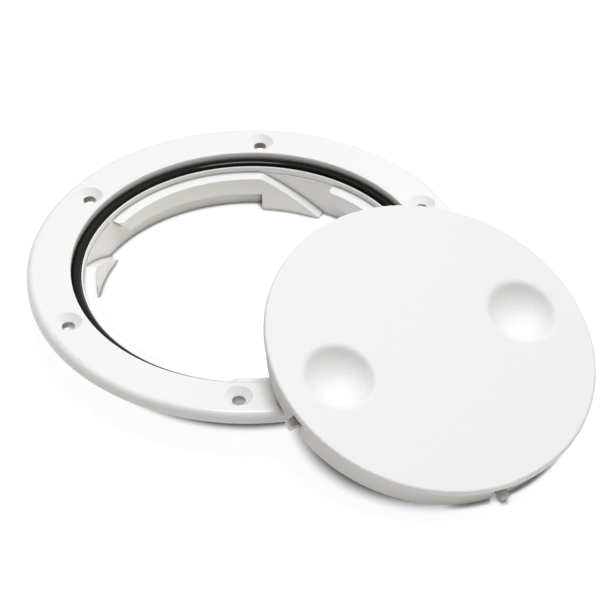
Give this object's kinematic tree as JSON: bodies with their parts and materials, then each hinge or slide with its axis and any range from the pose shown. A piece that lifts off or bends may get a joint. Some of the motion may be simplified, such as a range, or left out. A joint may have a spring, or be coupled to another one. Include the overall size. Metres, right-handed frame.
{
  "type": "deck inspection plate",
  "caption": "Round flanged deck ring with a bayonet lid that is taken off and leans on it, giving hand access through a deck or bulkhead.",
  "frame": {"origin": "centre of the screw circle on the underside of the flange, in the plane of the deck", "axes": "+Z out of the deck along the ring's axis; -Z the way the collar goes through the deck; the screw holes stand at 30 degrees from +X and every 60 degrees on; the lid leans on the ring on the +X -Y side"},
  "size_m": [0.1839, 0.1729, 0.045],
  "materials": {
    "ring_plastic": "white moulded plastic, satin gloss",
    "seal_rubber": "black rubber, slightly glossy",
    "lid_plastic": "white moulded plastic, fine matt grain"
  },
  "bodies": {
    "root": {"deck_ring": "ring_plastic", "seal_ring": "seal_rubber", "lid": "lid_plastic"}
  },
  "joints": []
}
